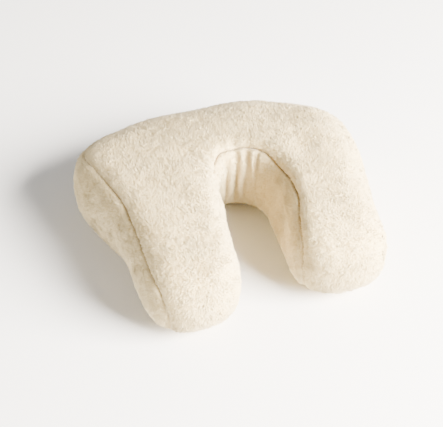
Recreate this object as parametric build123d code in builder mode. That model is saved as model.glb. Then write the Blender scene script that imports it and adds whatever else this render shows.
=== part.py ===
from build123d import *
import os

os.makedirs("parts", exist_ok=True)

# Face cradle cushion: a horseshoe pad of foam in a liner, inside a plush cover with a zip below.
# Frame: X across, Y from the leg tips (-Y) to the arch (+Y), Z up, origin at the base's centre, mm.

# ---- driving dimensions ----

# outline from above, right half: corners before rounding, and their radii
length = 292.0
arch_corner_x = 157.7
arch_corner_setback = 36.0
arch_corner_radius = 58.0
crown_corner_x = 68.0
crown_radius = 200.0
waist_x = 138.5
waist_y = -23.0
waist_radius = 150.0
tip_outer_x = 124.0
tip_outer_radius = 46.0
tip_inner_x = 24.0
tip_inner_radius = 44.0
apex_corner_x = 36.0
apex_y = 18.0
apex_radius = 31.0

# side view: one long arc over the top, highest a little in front of the middle
body_height = 94.0
peak_y = -16.0
tip_drop = 18.0
top_edge_radius = 30.0
bottom_edge_radius = 28.0

# layers, from the outside in
cover_thickness = 5.0
liner_thickness = 0.8
layer_gap = 0.3
bottom_seam_height = 10.0
liner_seam_z = 46.0
comfort_layer_z = 56.0

# seams of the top panel, seen from above: corners before rounding
outer_seam_exit_x = 117.0
outer_seam_tip_x = 116.0
outer_seam_tip_y = -95.0
outer_seam_waist_x = 119.0
outer_seam_corner_x = 144.0
outer_seam_back_inset = 5.0
outer_seam_bend_radius = 60.0
outer_seam_corner_radius = 46.0
inner_seam_exit_x = 30.0
inner_seam_tip_x = 46.0
inner_seam_tip_y = -80.0
inner_seam_corner_x = 56.0
inner_seam_apex_depth = 30.0
inner_seam_radius = 40.0

# loop strips
strip_thickness = 2.5
strip_width = 25.0
leg_strip_length = 120.0
leg_strip_x = 78.0
leg_strip_y = -56.0
leg_strip_turn = 4.0
arch_strip_length = 130.0
arch_strip_y = 106.0
strip_corner_radius = 3.0

# zip
zip_y = 62.0
zip_length = 200.0
zip_half_gap = 0.7
tape_width = 15.0
tape_thickness = 0.5
tape_end = 10.0
coil_width = 2.6
coil_thickness = 2.1
slot_end_margin = 5.0
stop_length = 2.5
stop_wrap = 0.6

# slider and pull tab
slider_length = 12.0
slider_flange = 0.9
slider_plate = 0.9
slider_clearance = 0.3
post_length = 3.5
crown_length = 6.5
crown_width = 2.2
crown_thickness = 0.9
crown_gap = 1.6
pull_bar_diameter = 1.0
pull_width = 6.0
pull_ring_length = 6.0
pull_length = 24.0
pull_thickness = 1.0
pull_hem = 1.2

# care label
label_width = 36.0
label_length = 22.0
label_thickness = 0.3
label_x = 92.0
label_gap_to_slot = 16.0

# ---- values that follow ----

base_z = strip_thickness
top_z = base_z + body_height
crown_y = length / 2
tip_y = -length / 2
tip_span = peak_y - tip_y
top_arc_radius = (tip_span**2 + tip_drop**2) / (2 * tip_drop)
far = 2 * length

liner_inset = cover_thickness + layer_gap
foam_inset = liner_inset + liner_thickness + layer_gap

cover_inner_z = base_z + cover_thickness
tape_top_z = cover_inner_z + tape_thickness
coil_bottom_z = cover_inner_z - coil_thickness
coil_outer_y = zip_half_gap + coil_width
slot_half_width = coil_outer_y + slider_clearance + slider_flange + 2 * slider_clearance
slot_half_length = zip_length / 2 + slot_end_margin
tape_half_length = slot_half_length + tape_end
tape_outer_y = zip_half_gap + tape_width
plate_outer_top_z = coil_bottom_z - slider_clearance
plate_outer_z = plate_outer_top_z - slider_plate
plate_inner_z = tape_top_z + slider_clearance
slider_top_z = plate_inner_z + slider_plate
relief_top_z = slider_top_z + 4 * slider_clearance


# ---- shared shapes ----

def mirrored_outline(right_corners, right_radii):
    """Closed outline from its right half, listed from the gap round to the back."""
    corners = right_corners + [(-x, y) for x, y in reversed(right_corners)]
    radii = right_radii + list(reversed(right_radii))
    with BuildSketch() as sketch:
        with BuildLine():
            FilletPolyline(*corners, radius=radii, close=True)
        make_face()
    return sketch.sketch


def horseshoe():
    """Plan of the whole cushion."""
    corners = [
        (apex_corner_x, apex_y),
        (tip_inner_x, tip_y),
        (tip_outer_x, tip_y),
        (waist_x, waist_y),
        (arch_corner_x, crown_y - arch_corner_setback),
        (crown_corner_x, crown_y),
    ]
    radii = [
        apex_radius,
        tip_inner_radius,
        tip_outer_radius,
        waist_radius,
        arch_corner_radius,
        crown_radius,
    ]
    return mirrored_outline(corners, radii)


def cushion_body(inset):
    """The cushion's solid shape, moved inwards by inset on every side."""
    with BuildPart() as body:
        with BuildSketch(Plane.XY.offset(base_z + inset)):
            add(horseshoe())
            if inset:
                offset(amount=-inset)
        extrude(amount=body_height)
        with BuildSketch(Plane.YZ):
            with Locations((peak_y, top_z - top_arc_radius)):
                Circle(top_arc_radius - inset)
        extrude(amount=far, both=True, mode=Mode.INTERSECT)
        fillet(body.faces().sort_by(Axis.Z)[-1].edges(), top_edge_radius - inset)
        fillet(body.faces().sort_by(Axis.Z)[0].edges(), bottom_edge_radius - inset)
    return body.part


def inside_body(inset, relief_margin):
    """The body at this inset, with the groove that keeps the inner layers off the zip."""
    groove_half_width = tape_outer_y + layer_gap + relief_margin
    groove_half_length = tape_half_length + layer_gap + relief_margin
    groove_top = relief_top_z + relief_margin
    with BuildPart() as inside:
        add(cushion_body(inset))
        with BuildSketch(Plane.XY):
            with Locations((0, zip_y)):
                Rectangle(2 * groove_half_length, 2 * groove_half_width)
        extrude(amount=groove_top, mode=Mode.SUBTRACT)
    return inside.part


def outer_seam_region():
    """Plan of all that the outer shoulder seam encloses."""
    corners = [
        (outer_seam_exit_x, tip_y - cover_thickness),
        (outer_seam_tip_x, outer_seam_tip_y),
        (outer_seam_waist_x, waist_y),
        (outer_seam_corner_x, crown_y - arch_corner_setback),
        (crown_corner_x, crown_y - outer_seam_back_inset),
    ]
    radii = [
        0,
        outer_seam_bend_radius,
        waist_radius,
        outer_seam_corner_radius,
        crown_radius,
    ]
    return mirrored_outline(corners, radii)


def inner_seam_region():
    """Plan of all that the inner shoulder seam encloses: the gap and the inner band."""
    corners = [
        (inner_seam_exit_x, tip_y - cover_thickness),
        (inner_seam_tip_x, inner_seam_tip_y),
        (inner_seam_corner_x, apex_y + inner_seam_apex_depth),
    ]
    radii = [0, inner_seam_radius, inner_seam_radius]
    return mirrored_outline(corners, radii)


# ---- cover ----

with BuildPart() as cover_shell:
    add(cushion_body(0))
    add(cushion_body(cover_thickness), mode=Mode.SUBTRACT)

bottom_seam_plane = Plane.XY.offset(base_z + bottom_seam_height)

with BuildPart() as cover_top_panel:
    add(cover_shell.part)
    split(bisect_by=bottom_seam_plane, keep=Keep.TOP)
    with BuildSketch():
        add(outer_seam_region())
        add(inner_seam_region(), mode=Mode.SUBTRACT)
    extrude(amount=far, mode=Mode.INTERSECT)

with BuildPart() as cover_outer_wall:
    add(cover_shell.part)
    split(bisect_by=bottom_seam_plane, keep=Keep.TOP)
    with BuildSketch():
        add(outer_seam_region())
    extrude(amount=far, mode=Mode.SUBTRACT)

with BuildPart() as cover_inner_wall:
    add(cover_shell.part)
    split(bisect_by=bottom_seam_plane, keep=Keep.TOP)
    with BuildSketch():
        add(inner_seam_region())
    extrude(amount=far, mode=Mode.INTERSECT)

with BuildPart() as cover_bottom_panel:
    add(cover_shell.part)
    split(bisect_by=bottom_seam_plane, keep=Keep.BOTTOM)
    with BuildSketch():
        with Locations((0, zip_y)):
            SlotOverall(2 * slot_half_length, 2 * slot_half_width)
    extrude(amount=cover_inner_z, mode=Mode.SUBTRACT)

cover_panels = {
    "cover_top_panel": cover_top_panel,
    "cover_outer_wall": cover_outer_wall,
    "cover_inner_wall": cover_inner_wall,
    "cover_bottom_panel": cover_bottom_panel,
}
for name, panel in cover_panels.items():
    panel.part.label = name
    export_step(panel.part, f"parts/{name}.step")

# ---- liner: a thin case in two halves, sewn together at its waist ----

with BuildPart() as liner_case:
    add(inside_body(liner_inset, 0))
    add(inside_body(liner_inset + liner_thickness, liner_thickness), mode=Mode.SUBTRACT)

with BuildPart() as liner_upper:
    add(liner_case.part)
    split(bisect_by=Plane.XY.offset(liner_seam_z), keep=Keep.TOP)
liner_upper.part.label = "liner_upper"
export_step(liner_upper.part, "parts/liner_upper.step")

with BuildPart() as liner_lower:
    add(liner_case.part)
    split(bisect_by=Plane.XY.offset(liner_seam_z), keep=Keep.BOTTOM)
liner_lower.part.label = "liner_lower"
export_step(liner_lower.part, "parts/liner_lower.step")

# ---- foam: a soft upper layer glued on a firm lower one ----

foam_block = inside_body(foam_inset, liner_thickness + layer_gap)

with BuildPart() as foam_comfort_layer:
    add(foam_block)
    split(bisect_by=Plane.XY.offset(comfort_layer_z), keep=Keep.TOP)
foam_comfort_layer.part.label = "foam_comfort_layer"
export_step(foam_comfort_layer.part, "parts/foam_comfort_layer.step")

with BuildPart() as foam_support_layer:
    add(foam_block)
    split(bisect_by=Plane.XY.offset(comfort_layer_z), keep=Keep.BOTTOM)
foam_support_layer.part.label = "foam_support_layer"
export_step(foam_support_layer.part, "parts/foam_support_layer.step")

# ---- loop strips, whose faces are what the cushion rests on ----

strip_places = {
    "loop_strip_left": (Location((-leg_strip_x, leg_strip_y), leg_strip_turn + 90), leg_strip_length),
    "loop_strip_right": (Location((leg_strip_x, leg_strip_y), 90 - leg_strip_turn), leg_strip_length),
    "loop_strip_arch": (Location((0, arch_strip_y), 0), arch_strip_length),
}
for name, (place, strip_length) in strip_places.items():
    with BuildPart() as strip:
        with BuildSketch():
            with Locations(place):
                RectangleRounded(strip_length, strip_width, strip_corner_radius)
        extrude(amount=strip_thickness)
    strip.part.label = name
    export_step(strip.part, f"parts/{name}.step")

# ---- zip tapes and coils, front (-Y) and rear (+Y) of the slider's post ----

for name, side in {"front": -1, "rear": 1}.items():
    with BuildPart() as tape:
        with BuildSketch(Plane.XY.offset(cover_inner_z)):
            with Locations((0, zip_y + side * (zip_half_gap + tape_width / 2))):
                Rectangle(2 * tape_half_length, tape_width)
        extrude(amount=tape_thickness)
    tape.part.label = f"zip_tape_{name}"
    export_step(tape.part, f"parts/zip_tape_{name}.step")

    with BuildPart() as coil:
        with BuildSketch(Plane.YZ.offset(-zip_length / 2)):
            with Locations((zip_y + side * (zip_half_gap + coil_width / 2), cover_inner_z - coil_thickness / 2)):
                RectangleRounded(coil_width, coil_thickness, 0.45 * coil_thickness)
        extrude(amount=zip_length)
    coil.part.label = f"zip_coil_{name}"
    export_step(coil.part, f"parts/zip_coil_{name}.step")

# ---- zip stops: one on each coil at the closed end, one bridge at the open end ----

top_stop_x = zip_length / 2 + stop_length / 2

with BuildPart() as zip_top_stops:
    for side in (-1, 1):
        stop_y = zip_y + side * (zip_half_gap + coil_width / 2)
        with BuildSketch(Plane.XY.offset(coil_bottom_z)):
            with Locations((top_stop_x, stop_y)):
                RectangleRounded(stop_length, coil_width, stop_wrap)
        extrude(amount=coil_thickness)
zip_top_stops.part.label = "zip_top_stops"
export_step(zip_top_stops.part, "parts/zip_top_stops.step")

with BuildPart() as zip_bottom_stop:
    with BuildSketch(Plane.XY.offset(coil_bottom_z)):
        with Locations((-top_stop_x, zip_y)):
            RectangleRounded(stop_length, 2 * coil_outer_y, stop_wrap)
    extrude(amount=coil_thickness)
zip_bottom_stop.part.label = "zip_bottom_stop"
export_step(zip_bottom_stop.part, "parts/zip_bottom_stop.step")

# ---- slider at the closed end: two plates on a thin post, side flanges, crown below ----

slider_x = zip_length / 2 - slider_length / 2
flange_inner_y = coil_outer_y + slider_clearance
flange_outer_y = flange_inner_y + slider_flange
flange_height = cover_inner_z - slider_clearance - plate_outer_top_z
post_width = 2 * (zip_half_gap - slider_clearance)
post_x = slider_x + slider_length / 2 - post_length / 2
crown_top_z = plate_outer_z - crown_gap
crown_bottom_z = crown_top_z - crown_thickness

with BuildPart() as zip_slider:
    with BuildSketch(Plane.XY.offset(plate_outer_z)):
        with Locations((slider_x, zip_y)):
            RectangleRounded(slider_length, 2 * flange_outer_y, 1.5)
    extrude(amount=slider_plate)
    with BuildSketch(Plane.XY.offset(plate_inner_z)):
        with Locations((slider_x, zip_y)):
            RectangleRounded(slider_length, 2 * flange_outer_y, 1.5)
    extrude(amount=slider_plate)
    with BuildSketch(Plane.XY.offset(plate_outer_top_z)):
        for side in (-1, 1):
            with Locations((slider_x, zip_y + side * (flange_inner_y + slider_flange / 2))):
                Rectangle(slider_length - 3, slider_flange)
    extrude(amount=flange_height)
    with BuildSketch(Plane.XY.offset(plate_outer_top_z)):
        with Locations((post_x, zip_y)):
            Rectangle(post_length, post_width)
    extrude(amount=plate_inner_z - plate_outer_top_z)
    with BuildSketch(Plane.XZ.offset(-zip_y)):
        with Locations((slider_x, plate_outer_z - (plate_outer_z - crown_bottom_z) / 2)):
            RectangleRounded(crown_length, plate_outer_z - crown_bottom_z, 0.8)
        with Locations((slider_x, plate_outer_z - crown_gap / 2)):
            Rectangle(crown_length - 2 * crown_thickness, crown_gap, mode=Mode.SUBTRACT)
        with Locations((slider_x, plate_outer_z - 0.4)):
            for end in (-1, 1):
                with Locations((end * (crown_length - crown_thickness) / 2, 0)):
                    Rectangle(crown_thickness, 0.8)
    extrude(amount=crown_width / 2, both=True)
zip_slider.part.label = "zip_slider"
export_step(zip_slider.part, "parts/zip_slider.step")

# ---- pull tab: a ring whose bar lies in the crown, cranked down to a flat handle ----

pull_pivot_x = slider_x
pull_pivot_z = plate_outer_z - crown_gap / 2
handle_top_z = base_z - slider_clearance
handle_z = handle_top_z - pull_thickness
ring_start_x = pull_pivot_x - pull_bar_diameter / 2
ring_end_x = pull_pivot_x - pull_ring_length
handle_end_x = pull_pivot_x - pull_length
ring_hole_half_width = crown_width / 2 + slider_clearance

with BuildPart() as zip_pull_tab:
    with BuildSketch(Plane.XZ.offset(-zip_y)):
        with BuildLine():
            Polyline(
                (pull_pivot_x, pull_pivot_z - pull_thickness / 2),
                (pull_pivot_x, pull_pivot_z + pull_thickness / 2),
                (ring_end_x + pull_hem, pull_pivot_z + pull_thickness / 2),
                (ring_end_x - pull_hem, handle_top_z),
                (handle_end_x, handle_top_z),
                (handle_end_x, handle_z),
                (ring_end_x - pull_hem, handle_z),
                (ring_end_x + pull_hem, pull_pivot_z - pull_thickness / 2),
                close=True,
            )
        make_face()
    extrude(amount=pull_width / 2, both=True)
    with BuildSketch(Plane.XY):
        with Locations(((ring_end_x + pull_hem + pull_pivot_x) / 2, zip_y)):
            Rectangle(pull_pivot_x - ring_end_x - pull_hem, 2 * ring_hole_half_width)
    extrude(amount=cover_inner_z, mode=Mode.SUBTRACT)
    with BuildSketch(Plane.XZ.offset(-zip_y)):
        with Locations((pull_pivot_x, pull_pivot_z)):
            Circle(pull_bar_diameter / 2)
    extrude(amount=pull_width / 2, both=True)
zip_pull_tab.part.label = "zip_pull_tab"
export_step(zip_pull_tab.part, "parts/zip_pull_tab.step")

# ---- care label, sewn under the cover beside the zip ----

label_y = zip_y - slot_half_width - label_gap_to_slot - label_length / 2

with BuildPart() as care_label:
    with BuildSketch(Plane.XY.offset(base_z - label_thickness)):
        with Locations((label_x, label_y)):
            Rectangle(label_width, label_length)
    extrude(amount=label_thickness)
care_label.part.label = "care_label"
export_step(care_label.part, "parts/care_label.step")

slider_travel = zip_length - slider_length
print("overall", cover_shell.part.bounding_box().size)
print("slider pivot", pull_pivot_x, zip_y, pull_pivot_z, "travel", slider_travel)
print("crown", crown_bottom_z, crown_top_z, "handle", handle_z, handle_top_z)
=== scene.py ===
import bpy
import bmesh
import numpy as np
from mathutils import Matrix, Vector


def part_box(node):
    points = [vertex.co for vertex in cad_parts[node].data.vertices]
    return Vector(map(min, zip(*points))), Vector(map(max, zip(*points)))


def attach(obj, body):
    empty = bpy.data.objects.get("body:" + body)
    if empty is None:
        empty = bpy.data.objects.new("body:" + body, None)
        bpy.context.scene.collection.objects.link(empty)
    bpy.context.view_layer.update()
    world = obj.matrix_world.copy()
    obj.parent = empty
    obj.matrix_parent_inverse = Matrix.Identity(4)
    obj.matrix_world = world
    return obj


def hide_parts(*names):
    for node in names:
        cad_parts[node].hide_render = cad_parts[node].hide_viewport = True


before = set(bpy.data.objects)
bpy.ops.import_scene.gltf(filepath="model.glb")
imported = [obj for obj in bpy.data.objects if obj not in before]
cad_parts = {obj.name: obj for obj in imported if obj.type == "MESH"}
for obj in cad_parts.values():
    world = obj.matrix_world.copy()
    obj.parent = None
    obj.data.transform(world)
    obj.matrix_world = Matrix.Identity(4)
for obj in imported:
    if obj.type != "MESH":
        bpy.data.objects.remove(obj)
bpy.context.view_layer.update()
mm = 0.001               # every size below is in millimetres, and becomes metres only when a mesh is made
print("frame loaded:", len(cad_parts), "CAD nodes")


def linearColour(hexValue):
    # sRGB hex to linear: c / 12.92 below 0.04045, and ((c + 0.055) / 1.055) ^ 2.4 above it
    srgb = np.array([int(hexValue[i:i + 2], 16) for i in (1, 3, 5)]) / 255
    linear = np.where(srgb <= 0.04045, srgb / 12.92, ((srgb + 0.055) / 1.055) ** 2.4)
    return (*linear.tolist(), 1.0)


def addNode(tree, kind, settings=None, links=None):
    # settings name a property or an input socket, and links join an input to another node's output
    node = tree.nodes.new(kind)
    for key, value in (settings or {}).items():
        if isinstance(key, int) or key in node.inputs:
            node.inputs[key].default_value = value
        else:
            setattr(node, key, value)
    for key, source in (links or {}).items():
        tree.links.new(source, node.inputs[key])
    return node


def newMaterial(name, shader):
    # a material with only its shader and output, whose constant values are set on the shader itself
    material = bpy.data.materials.new(name)
    material.use_nodes = True
    tree = material.node_tree
    tree.nodes.clear()
    surface = addNode(tree, "ShaderNodeBsdfPrincipled", shader)
    addNode(tree, "ShaderNodeOutputMaterial", None, {"Surface": surface.outputs["BSDF"]})
    return material, tree, surface


def colourRamp(tree, factor, stops):
    # stops are (position, hex colour)
    ramp = addNode(tree, "ShaderNodeValToRGB", None, {"Fac": factor})
    marks = ramp.color_ramp.elements
    while len(marks) < len(stops):
        marks.new(0.5)
    for mark, (place, colour) in zip(marks, stops):
        mark.position, mark.color = place, linearColour(colour)
    return ramp.outputs["Color"]


def newMesh(name, points, faceGroups, material):
    # points in mm; each face group is one array of equal-sided faces, all shaded smooth
    mesh = bpy.data.meshes.new(name)
    mesh.vertices.add(len(points))
    mesh.vertices.foreach_set("co", (points * mm).ravel().astype(np.float32))
    corners = np.concatenate([f.ravel() for f in faceGroups])
    sides = np.concatenate([np.full(len(f), f.shape[1]) for f in faceGroups])
    mesh.loops.add(len(corners))
    mesh.loops.foreach_set("vertex_index", corners.astype(np.int32))
    mesh.polygons.add(len(sides))
    mesh.polygons.foreach_set("loop_start", (np.cumsum(sides) - sides).astype(np.int32))
    mesh.polygons.foreach_set("use_smooth", np.full(len(sides), True))
    mesh.update(calc_edges=True)
    mesh.validate()
    mesh.materials.append(material)
    piece = bpy.data.objects.new(name, mesh)
    bpy.context.collection.objects.link(piece)
    return piece


def storeNumbers(piece, name, values):
    # one number for each vertex, which a material reads by name
    layer = piece.data.attributes.new(name, "FLOAT", "POINT")
    layer.data.foreach_set("value", values.astype(np.float32))


def applied(piece):
    # the piece with its modifiers made real
    graph = bpy.context.evaluated_depsgraph_get()
    mesh = bpy.data.meshes.new_from_object(piece.evaluated_get(graph))
    old = piece.data
    piece.modifiers.clear()
    piece.data = mesh
    bpy.data.meshes.remove(old)
    return piece


def meshPoints(piece):
    # the vertices' places in mm
    flat = np.empty(len(piece.data.vertices) * 3, np.float32)
    piece.data.vertices.foreach_get("co", flat)
    return flat.reshape(-1, 3).astype(float) / mm


def unit(vectors):
    # each vector at length 1
    return vectors / np.maximum(np.linalg.norm(vectors, axis=-1, keepdims=True), 1e-9)


def pointNormals(points, faces):
    # each vertex takes the sum of its faces' normals, weighted by their areas
    diagonalA = points[faces[:, 2]] - points[faces[:, 0]]
    diagonalB = points[faces[:, -1]] - points[faces[:, 1]]
    across = np.cross(diagonalA, diagonalB)
    total = np.zeros_like(points)
    for k in range(faces.shape[1]):
        np.add.at(total, faces[:, k], across)
    return unit(total)


def latticeNoise(points, cell, seed):
    # random numbers from -1 to 1 on a cubic lattice, blended smoothly between its points
    dice = np.random.default_rng(seed)
    table = dice.uniform(-1, 1, 4096)
    grid = points / cell
    low = np.floor(grid).astype(np.int64)
    part = grid - low
    part = part * part * (3 - 2 * part)
    total = np.zeros(len(points))
    for corner in range(8):
        step = np.array([corner & 1, corner >> 1 & 1, corner >> 2 & 1])
        key = ((low + step) * np.array([73856093, 19349663, 83492791])).sum(1) % 4096
        weight = np.prod(np.where(step == 1, part, 1 - part), axis=1)
        total += weight * table[key]
    return total


# the cushion's outline and seams, seen from above
cushion = {
    "tipY": -146.0,
    # half outline from the gap round to the back: x, y and the radius that rounds the corner
    "outline": [(35, 20, 31), (25, -146, 44), (125, -146, 46), (137, -34, 70), (156, 60, 60), (148, 113, 60),
                (66, 147, 170)],
    "top": 95.5, "peakY": -16.0, "tipDrop": 18.0,     # the long arc over the top
    "bottom": 2.5, "waistline": 0.47,                 # where the side is widest, as a share of the height
    "reachTop": 40.0, "reachInner": 27.0, "roundTop": 2.35,    # how far in each shoulder reaches, and how square
    "reachBottom": 34.0, "roundBottom": 2.4,
    "startInset": 1.6,                                # the case is cut this much smaller than the filled cushion
    "legX": 74.0,                                     # the middle of each leg
    "voxel": 6.0, "pressure": 4.0, "stiffness": 5.0, "puffCap": 5.0, "simFrames": 20,
    # where the filling pushes the case out of its cut shape: place, reach in x, y and z, and how far it moves
    "pushes": [
        ((-30, 4, 86), (40, 66, 46), (24, 0, 0)),     # left leg leans over the gap
        ((44, -34, 86), (34, 52, 46), (11, 0, 0)),
        ((142, 124, 66), (50, 50, 70), (-11, -11, 0)),    # right back corner is rounder
        ((144, -10, 82), (34, 64, 50), (11, 0, 0)),   # right waist is full at its top
        ((-140, -38, 16), (36, 44, 50), (9, 0, 0)),   # left waist is drawn in at its foot
        ((-156, 88, 30), (30, 40, 44), (2, 0, 0)),
        ((-20, 150, 76), (150, 46, 50), (0, 4, 3)),   # crown is full at the back
        ((112, -134, 50), (40, 36, 60), (4, -3, 0)),
    ],
}
seams = {
    # half curves of the two shoulder seams: x, y, radius
    "outer": [(110, -151, 0), (120, -108, 50), (121, -12, 150), (142, 104, 46), (68, 140, 190)],
    "inner": [(30, -151, 0), (33, -124, 60), (44, -62, 60), (41, 33, 33)],
    "bottomZ": 12.5, "widestZ": 44.0,
    # the right leg's outer seam sits lower on its side, and so does the inner seam of the left leg, which leans
    "rightOut": 6.0, "leftIn": 4.0,
    "valleyDepth": 1.3, "valleyWidth": 8.0, "creaseDepth": 2.0, "creaseWidth": 1.4, "shadeWidth": 1.7,
    "clothThick": 1.5,
}


def roundedOutline(halfCorners, spacing):
    # the half is mirrored to a closed loop; each corner is cut back by radius * tan(turn / 2), and an arc joins
    # the two cuts
    half = np.array(halfCorners, float)
    loop = np.vstack([half, half[::-1] * [-1, 1, 1]])
    corner, radius = loop[:, :2], loop[:, 2]
    before, after = unit(np.roll(corner, 1, 0) - corner), unit(np.roll(corner, -1, 0) - corner)
    turn = np.pi - np.arccos(np.clip((before * after).sum(1), -1, 1))
    bend = np.sign(before[:, 1] * after[:, 0] - before[:, 0] * after[:, 1])
    start = corner + before * (radius * np.tan(turn / 2))[:, None]
    centre = start + (radius * bend)[:, None] * np.column_stack([before[:, 1], -before[:, 0]])
    first = np.arctan2(start[:, 1] - centre[:, 1], start[:, 0] - centre[:, 0])
    angle = first[:, None] + (bend * turn)[:, None] * np.linspace(0, 1, 24)
    arcs = centre[:, None] + radius[:, None, None] * np.stack([np.cos(angle), np.sin(angle)], -1)
    path = arcs.reshape(-1, 2)
    path = np.vstack([path, path[:1]])
    run = np.concatenate([[0], np.cumsum(np.linalg.norm(np.diff(path, axis=0), axis=1))])
    at = np.linspace(0, run[-1], int(run[-1] / spacing), endpoint=False)
    even = np.column_stack([np.interp(at, run, path[:, 0]), np.interp(at, run, path[:, 1])])
    along = unit(np.roll(even, -1, 0) - np.roll(even, 1, 0))
    return even, np.column_stack([along[:, 1], -along[:, 0]])     # points and outward normals


def insideOf(places, loop):
    # a point is inside where a line from it to +X crosses the loop an odd number of times
    start, end = loop, np.roll(loop, -1, 0)
    inside = np.zeros(len(places), bool)
    for a, b in zip(start, end):
        spans = (a[1] > places[:, 1]) != (b[1] > places[:, 1])
        crossX = a[0] + (places[:, 1] - a[1]) * (b[0] - a[0]) / (b[1] - a[1] + 1e-12)
        inside ^= spans & (places[:, 0] < crossX)
    return inside


def nearestOn(places, loop):
    # the closest point of the loop's segments to each place
    best = np.full(len(places), 1e9)
    spot = np.zeros((len(places), 2))
    for a, b in zip(loop, np.roll(loop, -1, 0)):
        share = np.clip(((places - a) @ (b - a)) / max((b - a) @ (b - a), 1e-9), 0, 1)
        point = a + share[:, None] * (b - a)
        away = np.linalg.norm(places - point, axis=1)
        closer = away < best
        best[closer], spot[closer] = away[closer], point[closer]
    return best, spot


def nearestAway(points, targets, reach):
    # distance in space from each point to the nearest target, worked out in blocks; reach where none is near
    away = np.full(len(points), float(reach))
    for start in range(0, len(points), 4000):
        block = points[start:start + 4000]
        low, high = block.min(0) - reach, block.max(0) + reach
        close = targets[((targets > low) & (targets < high)).all(1)]
        if len(close):
            gap = ((block[:, None] - close[None]) ** 2).sum(-1).min(1)
            away[start:start + 4000] = np.minimum(np.sqrt(gap), reach)
    return away


def topHeight(y):
    # the long arc over the top, through its peak and tipDrop lower at the tips
    span = cushion["peakY"] - cushion["tipY"]
    radius = (span ** 2 + cushion["tipDrop"] ** 2) / (2 * cushion["tipDrop"])
    return cushion["top"] - radius + np.sqrt(radius ** 2 - (y - cushion["peakY"]) ** 2)


def smoothStep(low, high, values):
    # 0 up to low and 1 from high on, with 3s^2 - 2s^3 between, s being the share of the way
    share = np.clip((values - low) / (high - low), 0, 1)
    return share * share * (3 - 2 * share)


def caseSurface(inset):
    # rings that follow the outline: each goes in by reach * (1 - cos^p) and up or down by height * sin^p,
    # a superellipse from the waistline to the flat top and to the flat underside
    outline, outward = roundedOutline(cushion["outline"], 4.0)
    outline = outline - outward * inset
    byGap = smoothStep(78, 40, abs(outline[:, 0])) * (outline[:, 1] < 80)      # 1 round the gap, 0 outside
    reachOf = {"Top": cushion["reachTop"] + (cushion["reachInner"] - cushion["reachTop"]) * byGap,
               "Bottom": np.full(len(outline), cushion["reachBottom"])}
    rings = []
    for part, count in (("Bottom", 10), ("Top", 12)):
        angles = np.linspace(0, np.pi / 2, count)
        if part == "Bottom":
            angles = angles[:0:-1]
        power = 2 / cushion["round" + part]
        for angle in angles:
            goIn = (reachOf[part] - inset) * (1 - np.cos(angle).clip(0) ** power)
            ring = outline - outward * goIn[:, None]
            high = topHeight(ring[:, 1]) - inset
            low = cushion["bottom"] + inset * 0.3
            middle = low + (high - low) * cushion["waistline"]
            end = high if part == "Top" else low
            rings.append(np.column_stack([ring, middle + (end - middle) * np.sin(angle) ** power]))
    rings = np.array(rings)
    rows, columns = rings.shape[:2]
    index = np.arange(rows * columns).reshape(rows, columns)
    right = np.roll(index, -1, 1)
    sides = np.stack([index[:-1], right[:-1], right[1:], index[1:]], -1).reshape(-1, 4)
    points = rings.reshape(-1, 3)
    caps = np.vstack([ladder(points, index[0]), ladder(points, index[-1])])
    return points, sides, caps


def ladder(points, ring):
    # triangles across a horseshoe ring: its inner and outer runs, from tip to tip, are climbed in step
    x, y = points[ring, 0], points[ring, 1]
    tipRight = np.argmin(y + (x < 0) * 1000 + abs(x - cushion["legX"]) * 0.01)
    tipLeft = np.argmin(y + (x > 0) * 1000 + abs(x + cushion["legX"]) * 0.01)
    outer = ring[tipRight:tipLeft + 1]
    inner = np.roll(ring, -tipLeft)[:len(ring) - (tipLeft - tipRight) + 1][::-1]
    steps = np.concatenate([np.linspace(0, 1, len(outer))[1:], np.linspace(0, 1, len(inner))[1:] + 1e-7])
    isOuter = np.argsort(steps) < len(outer) - 1
    a, b = np.cumsum(isOuter), np.cumsum(~isOuter)
    last = np.where(isOuter, outer[a - isOuter], inner[b - ~isOuter])
    return np.stack([last, outer[a], inner[b]], 1)


seamCurve = {name: roundedOutline(seams[name], 2.5)[0] for name in ("outer", "inner")}
seamCurve["outer"][:, 0] += seams["rightOut"] * smoothStep(0, 90, seamCurve["outer"][:, 0])
seamCurve["inner"][:, 0] += seams["leftIn"] * smoothStep(0, -36, seamCurve["inner"][:, 0])


def filledCase():
    # the case is remeshed into even squares and blown up as cloth
    points, sides, caps = caseSurface(cushion["startInset"])
    case = newMesh("case", points, [sides, caps], bpy.data.materials.new("case cloth"))
    shell = bmesh.new()
    shell.from_mesh(case.data)
    bmesh.ops.recalc_face_normals(shell, faces=shell.faces)
    shell.to_mesh(case.data)
    shell.free()
    even = case.modifiers.new("even", "REMESH")
    even.mode, even.voxel_size = "VOXEL", cushion["voxel"] * mm
    applied(case)
    swell(case)
    return case


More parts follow.
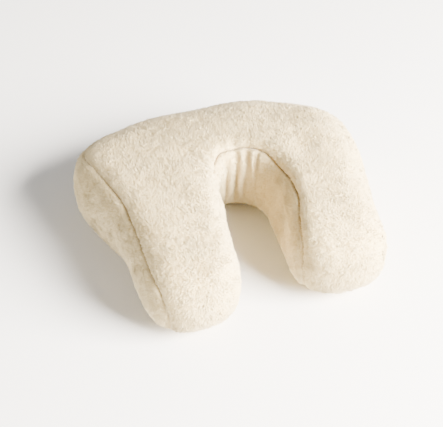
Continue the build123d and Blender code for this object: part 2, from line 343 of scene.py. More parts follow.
def swell(case):
    # air pressure pushes the cloth out while the underside is held; the move of each point is then shared with
    # its neighbours and capped
    start = meshPoints(case)
    group = case.vertex_groups.new(name="held")
    group.add(np.flatnonzero(start[:, 2] < seams["bottomZ"]).tolist(), 1.0, "REPLACE")
    cloth = case.modifiers.new("cloth", "CLOTH")
    cloth.settings.vertex_group_mass = "held"
    cloth.settings.use_pressure = True
    cloth.settings.uniform_pressure_force = cushion["pressure"]
    cloth.settings.bending_stiffness = cushion["stiffness"]
    cloth.settings.effector_weights.gravity = 0
    scene = bpy.context.scene
    for moment in range(1, cushion["simFrames"] + 1):
        scene.frame_set(moment)
    applied(case)
    scene.frame_set(1)
    moved = meshPoints(case) - start
    pairs = np.empty(len(case.data.edges) * 2, np.int32)
    case.data.edges.foreach_get("vertices", pairs)
    for turn in range(6):
        moved = 0.5 * moved + 0.5 * neighbourMean(moved, pairs.reshape(-1, 2))
    size = np.linalg.norm(moved, axis=1, keepdims=True)
    moved *= np.minimum(1, cushion["puffCap"] / np.maximum(size, 1e-6))
    case.data.vertices.foreach_set("co", ((start + moved) * mm).ravel().astype(np.float32))
    print("case swelled: mean", size.mean().round(2), "mm, most", size.max().round(1), "mm")


def neighbourMean(values, pairs):
    # the mean of the values at the other ends of each point's edges
    total, count = np.zeros_like(values), np.zeros(len(values))
    for near, far in (pairs.T, pairs.T[::-1]):
        np.add.at(total, near, values[far])
        np.add.at(count, near, 1)
    return np.where(count[:, None] > 0, total / np.maximum(count, 1)[:, None], values)


def pushed(points):
    # each push fades as exp(-d^2), d being the distance from its middle as a share of its reach
    points = points.copy()
    for centre, reach, move in cushion["pushes"]:
        near = np.exp(-(((points - centre) / reach) ** 2).sum(1))
        points += near[:, None] * move
    return points


def layerOf(case, levels):
    # the case divided finer and set down flat on its underside
    layer = bpy.data.objects.new("layer", case.data.copy())
    bpy.context.collection.objects.link(layer)
    finer = layer.modifiers.new("finer", "SUBSURF")
    finer.levels = finer.render_levels = levels
    applied(layer)
    points = meshPoints(layer)
    corners = np.empty(len(layer.data.polygons) * 4, np.int32)
    layer.data.polygons.foreach_get("vertices", corners)
    bpy.data.objects.remove(layer)
    low = points[:, 2].min() - cushion["bottom"]
    points[:, 2] -= low * np.exp(-(points[:, 2] - cushion["bottom"] - low).clip(0) / 10)
    points[:, 2] = np.where(points[:, 2] < cushion["bottom"] + 0.9, cushion["bottom"], points[:, 2])
    return points, corners.reshape(-1, 4)


case = filledCase()
skin, faces = layerOf(case, 2)
core, coreFaces = layerOf(case, 1)
bpy.data.objects.remove(case)
print("skin:", len(faces), "faces")


# which part of the skin each panel covers: below its widest height, a side belongs to what is above the nearest
# place of the outline
centres = skin[faces].mean(1)
plan = centres[:, :2].copy()
under = centres[:, 2] < seams["widestZ"]
plan[under] = nearestOn(plan[under], roundedOutline(cushion["outline"], 2.5)[0])[1]
inOuter, inInner = (insideOf(plan, seamCurve[name]) for name in ("outer", "inner"))
panelNames = ["cover_top_panel", "cover_outer_wall", "cover_inner_wall", "cover_bottom_panel"]
panelOf = np.where(inInner, 2, np.where(inOuter, 0, 1))
panelOf[centres[:, 2] < seams["bottomZ"]] = 3

zipParts = {
    "y": 62.0, "travel": 188.0,
    "slotEnd": 105.0, "slotHalf": 5.1, "rise": 3.6, "riseWidth": 4.5,     # the slot's edge rolls up to the tapes
    "coilEnd": 100.0, "coilIn": 0.55, "coilOut": 3.3, "coilLow": 5.4, "coilHigh": 7.5,
    "pitch": 1.55, "wire": 0.36,
    "tapeIn": 0.7, "tapeOut": 15.7, "tapeEnd": 115.0, "tapeLow": 7.5, "tapeHigh": 8.0,
    "roofLow": 8.3, "roofHigh": 10.7,             # how high the liner is lifted beside and over the coils
    "roofEnds": (117, 124), "roofSides": (17, 25),    # where it comes down again, from the zip's middle
}


def slotMiddle(places):
    # the nearest point of the line along the slot's middle, which stops short of each end by its half width
    reach = zipParts["slotEnd"] - zipParts["slotHalf"]
    along = places[:, 0].clip(-reach, reach)
    return np.column_stack([along, np.full(len(along), zipParts["y"])])


def slotAway(places):
    # signed distance from the slot's edge, which runs at a constant distance from that line: negative inside it
    return np.hypot(*(places[:, :2] - slotMiddle(places)).T) - zipParts["slotHalf"]


panelOf[(panelOf == 3) & (centres[:, 2] < 6) & (slotAway(centres) < 0)] = 4        # cut away


def touches(panel):
    # which points are corners of the panel's faces
    mark = np.zeros(len(skin), bool)
    mark[faces[panelOf == panel]] = True
    return mark


touching = [touches(panel) for panel in range(5)]
border = sum(t.astype(int) for t in touching) > 1

# the ragged edge between two panels is moved onto the seam's own curve, then relaxed along itself
for name, wall in (("outer", 1), ("inner", 2)):
    onLine = touching[0] & touching[wall] & (skin[:, 2] > seams["widestZ"])
    skin[onLine, :2] = nearestOn(skin[onLine, :2], seamCurve[name])[1]
onLine = touching[3] & (touching[1] | touching[2])
skin[onLine, 2] = seams["bottomZ"]
onSlot = touching[3] & touching[4]
middle = slotMiddle(skin[onSlot])
skin[onSlot, :2] = middle + unit(skin[onSlot, :2] - middle) * zipParts["slotHalf"]
edges = np.stack([faces, np.roll(faces, -1, 1)], -1).reshape(-1, 2)
edges = np.unique(np.sort(edges, axis=1), axis=0)
seamEdges = edges[border[edges].all(1)]
seamEnds = np.bincount(seamEdges.ravel(), minlength=len(skin)) >= 2
for turn in range(6):
    skin[seamEnds] = 0.5 * skin[seamEnds] + 0.5 * neighbourMean(skin, seamEdges)[seamEnds]
# the points beside a seam follow it, so that no square is left folded
beside = np.zeros(len(skin), bool)
for turn in range(3):
    beside[edges[(border | beside)[edges].any(1)]] = True
beside &= ~border
for turn in range(4):
    skin[beside] = 0.5 * skin[beside] + 0.5 * neighbourMean(skin, edges)[beside]

skin, core = pushed(skin), pushed(core)

# valleys at the seams, puckers beside them, gathers round the apex, and the soft unevenness of the filling
gathers = {"middle": (8, -14), "radius": 31.0, "fade": 20.0, "count": 19, "depth": 2.8, "spread": 1.1}
relief = {"pucker": 0.45, "puckerReach": 9.0, "swell": 1.0, "dent": 0.45, "nap": 0.35}     # heights in mm
outward = pointNormals(skin, faces)
resting = smoothStep(3, 16, skin[:, 2])                        # the underside stays flat
away = nearestAway(skin, skin[border & ~touching[4]], 40.0)
pucker = relief["pucker"] * latticeNoise(skin, 7.0, 3) * np.exp(-(away / relief["puckerReach"]) ** 2)
# the outer seam is pulled least over the crown, where the filling is firm
slack = (0.3 + 0.4 * smoothStep(-10, 60, skin[:, 1])) * (abs(skin[:, 0]) > 70)
pull = (0.3 + 0.7 * resting) * (1 - slack)
valley = -seams["valleyDepth"] * np.exp(-(away / seams["valleyWidth"]) ** 2) * pull
crease = -seams["creaseDepth"] * np.exp(-(away / seams["creaseWidth"]) ** 2) * pull
fromApex = skin[:, :2] - gathers["middle"]
around = np.arctan2(fromApex[:, 0], fromApex[:, 1])            # 0 at the apex, growing to each side
near = np.exp(-((np.linalg.norm(fromApex, axis=1) - gathers["radius"]).clip(0) / gathers["fade"]) ** 2)
wander = latticeNoise(skin * [1, 1, 0.2], 14.0, 5) + 0.5 * latticeNoise(skin * [1, 1, 0.2], 7.0, 6)
uneven = 0.6 + 0.8 * latticeNoise(skin * [1, 1, 0.3], 14.0, 7)
gather = gathers["depth"] * np.cos(around * gathers["count"] + 2.2 * wander) * uneven
gather *= near * np.exp(-(around / gathers["spread"]) ** 4) * smoothStep(6, 40, skin[:, 2])
gather *= (skin[:, 1] > -40) * (1 - 0.7 * np.exp(-(away / 4) ** 2))
soft = relief["swell"] * latticeNoise(skin, 42.0, 8) + relief["dent"] * latticeNoise(skin, 17.0, 9)
nap = relief["nap"] * latticeNoise(skin, 4.2, 10)
roll = zipParts["rise"] * np.exp(-(slotAway(skin).clip(0) / zipParts["riseWidth"]) ** 2) * (skin[:, 2] < 6)
skin += outward * (valley + crease + gather + (pucker + soft + nap) * resting)[:, None]
skin[:, 2] = np.maximum(skin[:, 2], cushion["bottom"]) + roll
outward = pointNormals(skin, faces)
print("panels shaped")


def plushCloth():
    # polyester plush fleece, knitted, brushed and sheared: matte, with a soft sheen at glancing angles from the
    # pile's tips, cream with faint mottling where the pile parts, and darker down in the seams
    material, tree, surface = newMaterial("knitted plush fleece", {
        "Roughness": 0.95, "Sheen Weight": 0.25, "Sheen Roughness": 0.5, "Specular IOR Level": 0.2,
    })
    place = addNode(tree, "ShaderNodeTexCoord").outputs["Object"]
    # 3 mm tufts and 45 mm clouds: a noise scale is one over the size in metres
    mottle = addNode(tree, "ShaderNodeTexNoise", {"Scale": 330.0, "Detail": 3.0}, {"Vector": place})
    cloud = addNode(tree, "ShaderNodeTexNoise", {"Scale": 22.0, "Detail": 2.0}, {"Vector": place})
    both = addNode(tree, "ShaderNodeMath", {"operation": "MULTIPLY_ADD", 1: 0.3},
                   {0: cloud.outputs["Fac"], 2: mottle.outputs["Fac"]})
    cream = colourRamp(tree, both.outputs["Value"], [(0.45, "#D0B985"), (0.62, "#DBC797"), (0.8, "#E4D3A8")])
    seam = addNode(tree, "ShaderNodeAttribute", {"attribute_name": "seamShade"})
    dark = addNode(tree, "ShaderNodeMix", {"data_type": "RGBA", 7: linearColour("#A48C64")},
                   {0: seam.outputs["Fac"], 6: cream})         # inputs 6 and 7 are its two colours
    tree.links.new(dark.outputs[2], surface.inputs["Base Color"])
    fibre = addNode(tree, "ShaderNodeTexNoise", {"Scale": 900.0, "Detail": 2.0}, {"Vector": place})
    bump = addNode(tree, "ShaderNodeBump", {"Strength": 0.5, "Distance": 0.0006},
                   {"Height": fibre.outputs["Fac"]})
    tree.links.new(bump.outputs["Normal"], surface.inputs["Normal"])
    return material


def plushPile():
    # the pile's own fibres: the same cream, each tuft a little lighter or darker, and painted shade at its root
    material, tree, surface = newMaterial("brushed plush pile", {
        "Roughness": 0.9, "Sheen Weight": 0.2, "Sheen Roughness": 0.5, "Specular IOR Level": 0.15,
    })
    toneAndShade = addNode(tree, "ShaderNodeAttribute", {"attribute_name": "toneAndShade"})
    cream = colourRamp(tree, toneAndShade.outputs["Fac"], [(0.0, "#CAB37F"), (0.45, "#DDC999"), (1.0, "#E8D8AE")])
    tree.links.new(cream, surface.inputs["Base Color"])
    return material


def wovenCotton(name, colours, threadMm, roughness):
    # plain-woven cotton or nylon: two crossed sets of threads, each a row of soft ridges, painted light on its
    # crown
    material, tree, surface = newMaterial(name, {"Roughness": roughness, "Specular IOR Level": 0.3})
    place = addNode(tree, "ShaderNodeTexCoord").outputs["Object"]
    ridges = []
    for direction in ("X", "Y"):
        # a wave's scale is one over its spacing in metres, over 3.18, which is Blender's own factor of 20 / 2 pi
        wave = addNode(tree, "ShaderNodeTexWave", {"Scale": 1000 / threadMm / 3.18, "bands_direction": direction,
                                                   "Distortion": 0.6, "Detail": 1.0}, {"Vector": place})
        ridges.append(wave.outputs["Fac"])
    weave = addNode(tree, "ShaderNodeMath", {"operation": "MULTIPLY"}, {0: ridges[0], 1: ridges[1]})
    # the colour follows the threads' height: painted shade in the hollows, painted light on the crowns
    colour = colourRamp(tree, weave.outputs["Value"], [(0.0, colours[0]), (0.6, colours[1])])
    tree.links.new(colour, surface.inputs["Base Color"])
    bump = addNode(tree, "ShaderNodeBump", {"Strength": 0.6, "Distance": 0.00025},
                   {"Height": weave.outputs["Value"]})
    tree.links.new(bump.outputs["Normal"], surface.inputs["Normal"])
    return material


def cellFoam(name, colours, cellMm):
    # open-cell polyurethane foam, cut from a block: matte, with small round pores in painted shade, a little
    # darker than the walls
    material, tree, surface = newMaterial(name, {"Roughness": 0.95, "Specular IOR Level": 0.2})
    place = addNode(tree, "ShaderNodeTexCoord").outputs["Object"]
    cells = addNode(tree, "ShaderNodeTexVoronoi", {"Scale": 1000 / cellMm}, {"Vector": place})
    # the pores, where the bump sinks, are darkened as painted shade
    colour = colourRamp(tree, cells.outputs["Distance"], [(0.05, colours[0]), (0.45, colours[1])])
    tree.links.new(colour, surface.inputs["Base Color"])
    bump = addNode(tree, "ShaderNodeBump", {"Strength": 0.5, "Distance": 0.0005},
                   {"Height": cells.outputs["Distance"]})
    tree.links.new(bump.outputs["Normal"], surface.inputs["Normal"])
    return material


def speckled(name, colours, scale, shader, bumpMm):
    # a moulded, cast or satin surface: one colour that drifts slightly to another, with a faint unevenness
    material, tree, surface = newMaterial(name, shader)
    place = addNode(tree, "ShaderNodeTexCoord").outputs["Object"]
    drift = addNode(tree, "ShaderNodeTexNoise", {"Scale": scale, "Detail": 3.0}, {"Vector": place})
    colour = colourRamp(tree, drift.outputs["Fac"], [(0.35, colours[0]), (0.65, colours[1])])
    tree.links.new(colour, surface.inputs["Base Color"])
    bump = addNode(tree, "ShaderNodeBump", {"Strength": 0.3, "Distance": bumpMm * mm},
                   {"Height": drift.outputs["Fac"]})
    tree.links.new(bump.outputs["Normal"], surface.inputs["Normal"])
    return material


finish = {
    "cloth": plushCloth(),
    "pile": plushPile(),
    "liner": wovenCotton("plain-woven cotton", ("#D9D6CC", "#F1EFE8"), 1.2, 0.85),
    "tape": wovenCotton("woven zip tape", ("#CFC3AA", "#E8DEC9"), 0.8, 0.75),
    "loopBase": wovenCotton("knitted nylon loop backing", ("#CFBD8E", "#E0D1A6"), 1.0, 0.8),
    "comfort": cellFoam("slow polyurethane foam", ("#D8C58B", "#F0E3B4"), 1.4),
    "support": cellFoam("firm polyurethane foam", ("#B9BDBE", "#DDE0DF"), 2.2),
    # injection-moulded nylon: smooth and slightly glossy
    "coil": speckled("moulded nylon coil", ("#DCCFB4", "#E9DFC9"), 400.0, {"Roughness": 0.35}, 0.02),
    # die-cast zinc, nickel-plated and tumbled: a soft satin metal with faint darker scuffs
    "metal": speckled("nickel-plated zinc", ("#B9B7B1", "#D2D0CA"), 700.0,
                      {"Metallic": 1.0, "Roughness": 0.28}, 0.015),
    # polyester satin ribbon: white, smooth, with a long sheen
    "label": speckled("white polyester satin", ("#ECEBE7", "#F6F5F2"), 250.0,
                      {"Roughness": 0.42, "Sheen Weight": 0.3}, 0.03),
    # spun polyester thread, twisted: cream like the fleece, a shade darker
    "thread": speckled("spun polyester thread", ("#CDBB99", "#DDCEB0"), 900.0, {"Roughness": 0.7}, 0.05),
    # nylon loop pile: many fine bent fibres, slightly translucent, so they read a shade lighter than the backing
    "loops": speckled("nylon loop pile", ("#DAC79A", "#EADBB5"), 500.0, {"Roughness": 0.6}, 0.05),
}


def given(piece, replaced=(), body="cushion"):
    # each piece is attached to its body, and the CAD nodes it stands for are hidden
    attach(piece, body)
    if replaced:
        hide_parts(*replaced)
    return piece


# the four panels
seamShade = np.exp(-(away / seams["shadeWidth"]) ** 2) * pull
for number, name in enumerate(panelNames):
    own = faces[panelOf == number]
    used, local = np.unique(own, return_inverse=True)
    piece = newMesh("plush_" + name[6:], skin[used], [local.reshape(-1, 4)], finish["cloth"])
    storeNumbers(piece, "seamShade", seamShade[used])
    thick = piece.modifiers.new("thick", "SOLIDIFY")
    thick.thickness, thick.offset = seams["clothThick"] * mm, -1
    given(piece, [name])
    print(piece.name, len(own), "faces")


layers = {
    # each one's depth under the skin, its height range, and how thick its wall is (none is solid)
    "liner_upper": (5.9, 46.0, 200.0, 0.8, "liner", "cotton_liner"),
    "liner_lower": (5.9, 0.0, 46.0, 0.8, "liner", "cotton_liner"),
    "foam_comfort_layer": (7.1, 56.0, 200.0, None, "comfort", "memory_foam"),
    "foam_support_layer": (7.1, 0.0, 56.0, None, "support", "support_foam"),
}


def innerLayer(name, depth, low, high, wall, look, slot):
    # the case pushed in by depth and lifted over the zip, cut level at low and high; foam is closed there
    points = core - pointNormals(core, coreFaces) * depth
    beside = 1 - smoothStep(*zipParts["roofEnds"], abs(points[:, 0]))
    over = beside * (1 - smoothStep(*zipParts["roofSides"], abs(points[:, 1] - zipParts["y"])))
    roof = zipParts["roofLow"] + (zipParts["roofHigh"] - zipParts["roofLow"]) * over
    points[:, 2] = np.maximum(points[:, 2], roof + depth - layers["liner_lower"][0])
    piece = newMesh("inner_" + name, points, [coreFaces], finish[look])
    shell = bmesh.new()
    shell.from_mesh(piece.data)
    for height, side in ((low, -1), (high, 1)):
        everything = shell.verts[:] + shell.edges[:] + shell.faces[:]
        cut = bmesh.ops.bisect_plane(shell, geom=everything, plane_co=(0, 0, height * mm), plane_no=(0, 0, side),
                                     clear_outer=True)["geom_cut"]
        rim = [edge for edge in cut if isinstance(edge, bmesh.types.BMEdge)]
        if rim and not wall:
            bmesh.ops.triangle_fill(shell, edges=rim, use_beauty=True, normal=(0, 0, side))
    shell.to_mesh(piece.data)
    shell.free()
    if wall:
        thick = piece.modifiers.new("thick", "SOLIDIFY")
        thick.thickness, thick.offset = wall * mm, -1
    return given(piece, [name])


for name, values in layers.items():
    innerLayer(name, *values)
print("liner and foam made")


# the pile: short tufts standing out of every panel
pile = {
    "spacing": 1.33, "quickSpacing": 2.2, "length": 2.6, "width": 0.95, "sink": 0.5,
    "lean": 0.6, "scatter": 0.45, "hang": 0.6,        # how far a tuft leans, how unevenly, and how much downwards
    "toneAndShade": 0.5, "spread": 0.12, "seamGap": 1.25, "look": "pile", "slot": "plush_fleece", "inPiece": 19500,
}
underPile = {**pile, "spacing": 2.1, "length": 1.7, "width": 1.1}
loopPile = {**pile, "spacing": 1.25, "quickSpacing": 2.0, "length": 1.15, "width": 0.5, "sink": 0.1, "lean": 1.3,
            "look": "loops", "slot": "loop_tape"}


def tufts(roots, normals, dice, name, kind, trim=1.0):
    # a tuft is a three-sided wisp of three levels: its root ring, a ring at half length, and a tip that hangs over
    count = len(roots)
    swirl = np.stack([latticeNoise(roots, 9.0, seed) + latticeNoise(roots, 4.0, seed + 5)
                      for seed in (31, 32, 33)], 1)
    leaning = swirl + dice.normal(0, kind["scatter"], (count, 3)) + [0, 0, -kind["hang"]]
    leaning -= (leaning * normals).sum(1, keepdims=True) * normals
    leaning *= kind["lean"]
    side = unit(np.cross(normals, dice.normal(0, 1, (count, 3))))
    other = np.cross(normals, side)
    long = kind["length"] * dice.uniform(0.6, 1.3, (count, 1)) * (1 + 0.25 * latticeNoise(roots, 4.0, 44)[:, None])
    long *= np.reshape(trim, (-1, 1))
    wide = kind["width"] / 2 * dice.uniform(0.7, 1.3, (count, 1))
    middle = roots + (normals * 0.55 + leaning * 0.35) * long
    tip = roots + (normals * 0.85 + leaning) * long
    base = roots - normals * kind["sink"]
    rings, shading = [], []
    for centre, scale in ((base, 0.8), (middle, 1.0)):
        for third in range(3):
            angle = 2 * np.pi * third / 3
            spoke = side * np.cos(angle) + other * np.sin(angle)
            rings.append(centre + spoke * wide * scale)
            shading.append(unit(normals + 0.5 * spoke))
    points = np.stack([*rings, tip], 1).reshape(-1, 3)
    # fine pile is lit as the surface it stands on, so the tufts' shading normals are mostly the ground's
    shading = np.stack([*shading, unit(normals + 0.35 * leaning)], 1).reshape(-1, 3)
    points[:, 2] = points[:, 2].clip(0.1)                      # nothing goes under the floor
    first = np.arange(count)[:, None, None] * (len(rings) + 1)
    quads = (first + np.array([[0, 1, 4, 3], [1, 2, 5, 4], [2, 0, 3, 5]])).reshape(-1, 4)
    triangles = (first + np.array([[0, 2, 1], [3, 4, 6], [4, 5, 6], [5, 3, 6]])).reshape(-1, 3)
    piece = newMesh(name, points, [quads, triangles], finish[kind["look"]])
    piece.data.normals_split_custom_set_from_vertices(shading)
    own = kind["toneAndShade"] + kind["spread"] * (1.8 * dice.uniform(-1, 1, count) + 0.7 * latticeNoise(roots, 5.0, 34))
    # the root ring is darkened as painted shade, and the tip lightened as painted light
    toneAndShade = own[:, None] + np.array([-0.15, -0.15, -0.15, 0.0, 0.0, 0.0, 0.1])
    storeNumbers(piece, "toneAndShade", np.clip(toneAndShade, 0, 1).ravel())
    # each tuft has its own small cell of the map
    across = int(np.ceil(np.sqrt(count)))
    cell = np.stack([np.arange(count) % across, np.arange(count) // across], 1)
    inCell = np.array([(.1, .1), (.9, .1), (.5, .35), (.2, .5), (.8, .5), (.5, .7), (.5, .95)])
    place = ((cell[:, None] + inCell) / across).reshape(-1, 2)
    layer = piece.data.uv_layers.new(name="OFBake")
    corners = np.empty(len(piece.data.loops), np.int32)
    piece.data.loops.foreach_get("vertex_index", corners)
    layer.data.foreach_set("uv", place[corners].ravel().astype(np.float32))
    return given(piece)


def growPile(name, own, seed, kind, keep=None):
    # roots are spread by area: each face gets tufts as its share of the panel's area, at random places in it
    dice = np.random.default_rng(seed)
    p = skin[own]
    area = 0.5 * np.linalg.norm(np.cross(p[:, 2] - p[:, 0], p[:, 3] - p[:, 1]), axis=1)
    spacing = kind["spacing"]
    count = int(area.sum() / spacing ** 2)
    chosen = np.searchsorted(np.cumsum(area) / area.sum(), (np.arange(count) + dice.uniform(0, 1, count)) / count)
    chosen = chosen.clip(0, len(own) - 1)
    u, v = dice.uniform(0, 1, (2, count, 1))
    weights = [(1 - u) * (1 - v), u * (1 - v), u * v, (1 - u) * v]     # of the chosen square's four corners
    roots, normals, fromSeam = (sum(w * values[own[chosen, k]] for k, w in enumerate(weights))
                                for values in (skin, outward, away[:, None]))
    grow = (fromSeam[:, 0] > kind["seamGap"]) if keep is None else keep(roots)
    roots, normals, fromSeam = roots[grow], unit(normals[grow]), fromSeam[grow, 0]
    trim = 0.45 + 0.55 * smoothStep(0.5, 5, fromSeam)          # the pile is caught short in the seams
    parts = int(np.ceil(len(roots) / kind["inPiece"]))
    for part, block in enumerate(np.array_split(np.arange(len(roots)), parts)):
        tufts(roots[block], normals[block], dice, f"pile_{name[6:]}_{part + 1}", kind, trim[block])
    return len(roots)


fittings = {
    # length, width and turn of what is sewn to the underside
    "loop_strip_left": (120.0, 25.0, 94.0), "loop_strip_right": (120.0, 25.0, 86.0),
    "loop_strip_arch": (130.0, 25.0, 0.0), "care_label": (36.0, 22.0, 0.0),
}


def middleOf(node):
    # the middle of a CAD node's box, in mm
    low, high = (np.array(corner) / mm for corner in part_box(node))
    return (low + high) / 2


def turned(places, degrees, centre):
    # turned about 0, 0 from +X towards +Y, then moved to the centre
    angle = np.radians(degrees)
    return places @ np.array([[np.cos(angle), np.sin(angle)], [-np.sin(angle), np.cos(angle)]]) + centre


def clearOfFittings(roots):
    # on the underside the pile leaves out the slot's rolled edge, the loop strips and the label
    clear = slotAway(roots) > 3
    for node, (length, width, turn) in fittings.items():
        flat = turned(roots[:, :2] - middleOf(node)[:2], -turn, 0)
        clear &= (abs(flat) > np.array([length, width]) / 2 + 0.8).any(1) | (roots[:, 2] > 5)
    # and the places where the pull tab lies, at the two ends of the zip
    middle = middleOf("zip_pull_tab")[:2]
    half = np.array(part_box("zip_pull_tab")[1])[:2] / mm - middle + 2.0
    for slide in (0.0, -zipParts["travel"]):
        clear &= (abs(roots[:, :2] - middle - [slide, 0]) > half).any(1) | (roots[:, 2] > 5)
    return clear


grown = sum(growPile(name, faces[panelOf == number], 50 + number, pile)
            for number, name in enumerate(panelNames[:3]))
grown += growPile(panelNames[3], faces[panelOf == 3], 53, underPile, clearOfFittings)
print("pile:", grown, "tufts")


def slab(name, outline, outward, low, high, edge, look):
    # an outline carried up through a quarter turn at each rim: in by edge * (1 - cos), up by edge * (1 - sin)
    rings = []
    for height, side in ((low, -1), (high, 1)):
        for angle in np.linspace(0, np.pi / 2, 5)[::side]:
            goIn = edge * (1 - np.cos(angle))
            ring = outline - outward * goIn
            rings.append(np.column_stack([ring, np.full(len(ring), height - side * edge * (1 - np.sin(angle)))]))
    rings = np.array(rings)
    rows, columns = rings.shape[:2]
    index = np.arange(rows * columns).reshape(rows, columns)
    right = np.roll(index, -1, 1)
    sides = np.stack([index[:-1], right[:-1], right[1:], index[1:]], -1).reshape(-1, 4)
    return newMesh(name, rings.reshape(-1, 3), [sides, index[:1, ::-1], index[-1:]], finish[look])


def stitches(name, path, height, stitch):
    # each stitch is a thread laid along the path: a tube whose radius is r * sqrt(1 - t^2), t going from -1 to 1
    # along it, bowed down in its middle
    levels, around = 7, 6
    run = np.concatenate([[0], np.cumsum(np.linalg.norm(np.diff(path, axis=0), axis=1))])
    count = int(run[-1] / stitch["spacing"])
    starts = (np.arange(count) + 0.14) * run[-1] / count
    t = np.linspace(-0.99, 0.99, levels)
    at = starts[:, None] + (t + 1) / 2 * stitch["length"]
    line = np.stack([np.interp(at, run, path[:, 0]), np.interp(at, run, path[:, 1])], -1)
    along = unit(line[:, -1] - line[:, 0])
    across = np.stack([-along[:, 1], along[:, 0]], -1)
    angle = np.linspace(0, 2 * np.pi, around, endpoint=False)
    radius = stitch["radius"] * np.sqrt(1 - t ** 2)
    aside = radius[:, None] * np.cos(angle)
    drop = height - stitch["bow"] * (1 - t[:, None] ** 2) + radius[:, None] * np.sin(angle)
    plan = line[:, :, None] + across[:, None, None] * aside[None, :, :, None]
    points = np.concatenate([plan, np.broadcast_to(drop, plan.shape[:3])[..., None]], -1).reshape(-1, 3)
    ring = np.arange(levels * around).reshape(levels, around)
    right = np.roll(ring, -1, 1)
    sides = np.stack([ring[:-1], right[:-1], right[1:], ring[1:]], -1).reshape(-1, 4)
    ends = np.stack([ring[0][::-1], ring[-1]])
    first = (np.arange(count) * ring.size)[:, None, None]
    faceGroups = [(first + sides).reshape(-1, 4), (first + ends).reshape(-1, around)]
    return given(newMesh(name, points, faceGroups, finish["thread"]))


stitch = {"spacing": 3.1, "length": 2.4, "radius": 0.19, "bow": 0.05}
strips = {"corner": 3.0, "backing": 1.3, "rim": 2.2}


def roundedBox(length, width, radius, spacing):
    # a rectangle with rounded corners, and its outward normals, centred on 0, 0
    return roundedOutline([(length / 2, -width / 2, radius), (length / 2, width / 2, radius)], spacing)


for name, (length, width, turn) in list(fittings.items())[:3]:
    centre, face = middleOf(name)[:2], cushion["bottom"] - strips["backing"]
    plan, out = roundedBox(length, width, strips["corner"], 2.0)
    base = slab("backing_" + name, turned(plan, turn, centre), turned(out, turn, 0),
                face, cushion["bottom"], 0.4, "loopBase")
    given(base, [name])
    # the loops stand down from the backing, inside a plain woven rim
    dice = np.random.default_rng(len(name))
    reach = np.array([length, width]) / 2 - strips["rim"]
    spacing = loopPile["spacing"]
    grid = np.stack(np.meshgrid(*[np.arange(-r, r, spacing) for r in reach], indexing="ij"), -1).reshape(-1, 2)
    grid = turned(grid + dice.normal(0, 0.3, grid.shape), turn, centre)
    roots = np.column_stack([grid, np.full(len(grid), face)])
    tufts(roots, np.tile([0.0, 0.0, -1.0], (len(roots), 1)), dice, "loops_" + name, loopPile)
    hem = roundedBox(length - strips["rim"], width - strips["rim"], strips["corner"] - 1, 0.8)[0]
    hem = turned(np.vstack([hem, hem[:1]]), turn, centre)
    stitches("stitches_" + name, hem, face, stitch)
print("loop strips made")


# the zip: two woven tapes with a thick sewn edge, and a coil on each, its turns wound round a cord
for side, name in ((-1, "front"), (1, "rear")):
    middleY = zipParts["y"] + side * (zipParts["tapeIn"] + zipParts["tapeOut"]) / 2
    plan, out = roundedBox(2 * zipParts["tapeEnd"], zipParts["tapeOut"] - zipParts["tapeIn"], 0.8, 2.0)
    tape = slab("tape_" + name, plan + [0, middleY], out, zipParts["tapeLow"], zipParts["tapeHigh"], 0.15, "tape")
    given(tape, ["zip_tape_" + name])
    # a flattened helix: across and up are an ellipse in the coil's own section, along grows by one pitch a turn
    turns = int(2 * zipParts["coilEnd"] / zipParts["pitch"])
    angle = np.linspace(0, 2 * np.pi * turns, turns * 14 + 1)
    wide = (zipParts["coilOut"] - zipParts["coilIn"]) / 2 - zipParts["wire"]
    tall = (zipParts["coilHigh"] - zipParts["coilLow"]) / 2 - zipParts["wire"]
    centre = np.column_stack([
        -zipParts["coilEnd"] + zipParts["pitch"] * angle / (2 * np.pi) + side * zipParts["pitch"] / 4,
        zipParts["y"] + side * ((zipParts["coilIn"] + zipParts["coilOut"]) / 2 + wide * np.cos(angle)),
        (zipParts["coilLow"] + zipParts["coilHigh"]) / 2 + tall * np.sin(angle),
    ])
    along = unit(np.gradient(centre, axis=0))
    outwardX = unit(np.cross(along, [1.0, 0, 0]))
    upwardX = np.cross(along, outwardX)
    ringAngle = np.linspace(0, 2 * np.pi, 5, endpoint=False)[:, None, None]
    tube = centre + zipParts["wire"] * (outwardX * np.cos(ringAngle) + upwardX * np.sin(ringAngle))
    index = np.arange(5 * len(centre)).reshape(5, -1)
    nextRing = np.roll(index, -1, 0)
    sides = np.stack([index[:, :-1], nextRing[:, :-1], nextRing[:, 1:], index[:, 1:]], -1).reshape(-1, 4)
    ends = np.stack([index[::-1, 0], index[:, -1]])
    coil = newMesh("coil_" + name, tube.reshape(-1, 3), [sides, ends], finish["coil"])
    given(coil, ["zip_coil_" + name])

# a row of stitches holds the slot's rolled edge to the tapes
fromEdge = 3.0
slotPath = roundedBox(2 * (zipParts["slotEnd"] + fromEdge), 2 * (zipParts["slotHalf"] + fromEdge),
                      zipParts["slotHalf"] + 2.9, 0.8)[0]
slotPath = np.vstack([slotPath, slotPath[:1]]) + [0, zipParts["y"]]
slotHeight = cushion["bottom"] + zipParts["rise"] * np.exp(-(fromEdge / zipParts["riseWidth"]) ** 2)
stitches("stitches_slot", slotPath, slotHeight, {**stitch, "radius": 0.28})
labelLow, labelHigh = (np.array(corner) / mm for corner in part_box("care_label"))
labelHem = (1.5, 1.6)                                          # from the label's ends and from its edge
labelPath = np.array([[labelLow[0] + labelHem[0], labelHigh[1] - labelHem[1]],
                      [labelHigh[0] - labelHem[0], labelHigh[1] - labelHem[1]]])
stitches("stitches_label", labelPath, labelLow[2], {**stitch, "spacing": 2.2, "length": 1.7})

# the nodes whose own shape is right get their finishes
for node, look in (("zip_top_stops", "metal"), ("zip_bottom_stop", "metal"), ("zip_slider", "metal"),
                   ("zip_pull_tab", "metal"), ("care_label", "label")):
    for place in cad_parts[node].material_slots:
        place.material = finish[look]
print("zip, label and finishes made")


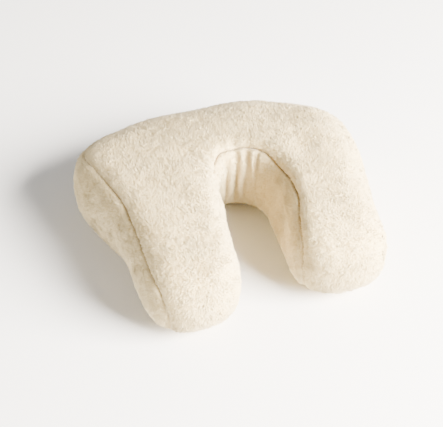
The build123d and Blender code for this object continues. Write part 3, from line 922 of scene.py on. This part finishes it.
# floor, light and camera
studio = {
    "azimuth": -19.7, "elevation": 43.0, "distance": 1265.0, "lens": 96.2,
    "aim": (0, -15, 40), "aside": -13.7, "rise": -1.2,
    "floorHalf": 4000.0, "floor": "#FDFDFD", "sky": 0.28, "lit": (0, 0, 40),
}
painted = newMaterial("pale floor", {"Base Color": linearColour(studio["floor"]), "Roughness": 0.9})[0]
corners = np.array([[-1, -1, 0], [1, -1, 0], [1, 1, 0], [-1, 1, 0.0]]) * studio["floorHalf"]
newMesh("floor", corners, [np.array([[0, 1, 2, 3]])], painted)

azimuth, elevation = np.radians(studio["azimuth"]), np.radians(studio["elevation"])
right = np.array([np.cos(azimuth), np.sin(azimuth), 0])
back = np.array([np.sin(azimuth) * np.cos(elevation), -np.cos(azimuth) * np.cos(elevation), np.sin(elevation)])
upward = np.cross(back, right)
aim = np.array(studio["aim"]) + right * studio["aside"] + upward * studio["rise"]
camera = bpy.data.objects.new("camera", bpy.data.cameras.new("camera"))
bpy.context.collection.objects.link(camera)
camera.data.sensor_width, camera.data.lens = 36.0, studio["lens"]
camera.data.clip_start, camera.data.clip_end = 0.05, 50
camera.location = (aim + back * studio["distance"]) * mm
camera.rotation_euler = (np.pi / 2 - elevation, 0, azimuth)
bpy.context.scene.camera = camera


def softLight(name, place, size, power, colour):
    # a square panel that faces the place to be lit
    lamp = bpy.data.lights.new(name, "AREA")
    lamp.shape, lamp.size, lamp.energy = "SQUARE", size * mm, power
    lamp.color = linearColour(colour)[:3]
    holder = bpy.data.objects.new(name, lamp)
    bpy.context.collection.objects.link(holder)
    holder.location = np.array(place) * mm
    toward = -unit(np.array(place, float) - studio["lit"])
    holder.rotation_euler = (np.arccos(-toward[2]), 0, np.arctan2(-toward[0], toward[1]))


softLight("key", (1200, -1200, 950), 1200, 590.0, "#FFF8EE")
softLight("fill", (-1500, 100, 450), 1200, 20.0, "#FFF9F0")
sky = bpy.data.worlds.new("studio")
sky.use_nodes = True
glow = sky.node_tree.nodes["Background"].inputs
glow["Color"].default_value = linearColour("#FFFFFF")
glow["Strength"].default_value = studio["sky"]
bpy.context.scene.world = sky
